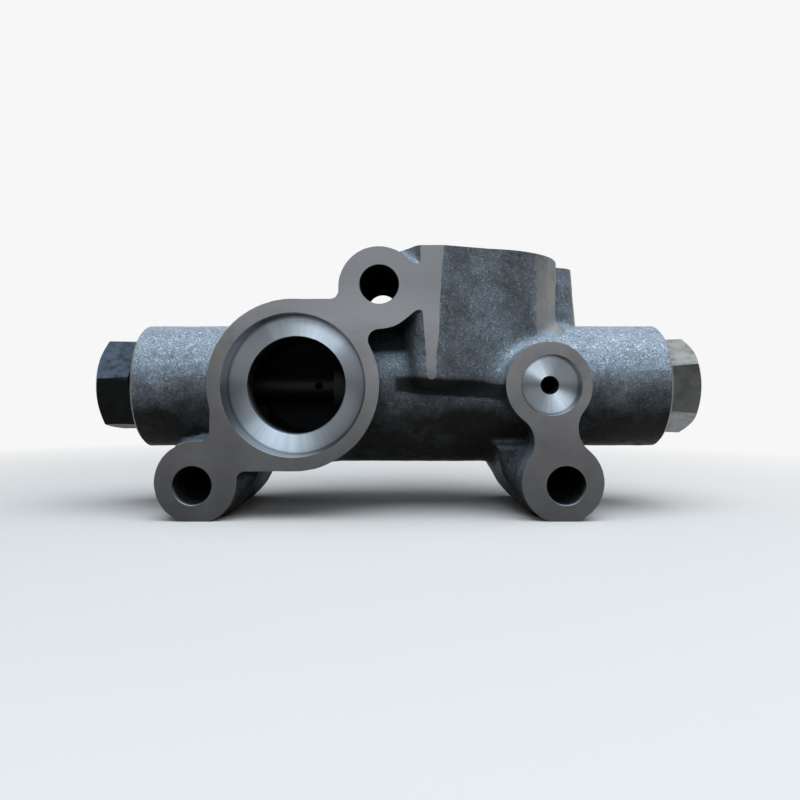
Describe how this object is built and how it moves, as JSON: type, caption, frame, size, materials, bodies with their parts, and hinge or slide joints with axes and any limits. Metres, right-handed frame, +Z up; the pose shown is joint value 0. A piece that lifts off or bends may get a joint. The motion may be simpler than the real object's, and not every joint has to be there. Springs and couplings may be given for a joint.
{
  "type": "relief valve",
  "caption": "Flange-mounted hydraulic relief valve: cast iron body with in-line spring-loaded spools, hexagon end plugs and bolt columns.",
  "frame": {"origin": "centre of the main port on the machined mounting face", "axes": "+X along the spool bore towards the converter plug, +Y back from the mounting face, +Z up"},
  "size_m": [0.2256, 0.076, 0.096],
  "materials": {
    "cast_iron": "sand cast, oiled",
    "black_steel": "black oxide",
    "plain_steel": "turned",
    "ground_steel": "ground",
    "spring_steel": "drawn wire",
    "rubber": "matt",
    "brass": "turned",
    "copper": "annealed"
  },
  "bodies": {
    "housing": {"valve_body": "cast_iron", "main_plug": "black_steel", "main_plug_seal": "rubber", "main_shims": "ground_steel", "main_spring_outer": "spring_steel", "main_spring_inner": "spring_steel", "main_piston": "ground_steel", "centre_stop": "ground_steel", "centre_stop_seal": "rubber", "centre_stop_screw": "plain_steel", "centre_stop_washer": "copper", "converter_piston": "ground_steel", "converter_spring": "spring_steel", "converter_shims": "ground_steel", "converter_plug": "plain_steel", "converter_plug_seal": "rubber"},
    "main_valve": {"main_spool": "ground_steel", "main_orifice": "brass", "main_spring_seat": "ground_steel"},
    "converter_valve": {"converter_spool": "ground_steel", "converter_spring_seat": "ground_steel"}
  },
  "joints": [
    {"name": "main_spool_slide", "type": "slide", "parent": "housing", "child": "main_valve", "axis": [-1, 0, 0], "range_m": [0, 0.008], "stiffness_N_per_m": 12000, "springref_m": -0.008, "deforming": ["main_spring_outer", "main_spring_inner"]},
    {"name": "converter_spool_slide", "type": "slide", "parent": "housing", "child": "converter_valve", "axis": [1, 0, 0], "range_m": [0, 0.008], "stiffness_N_per_m": 6000, "springref_m": -0.007, "deforming": ["converter_spring"]}
  ]
}
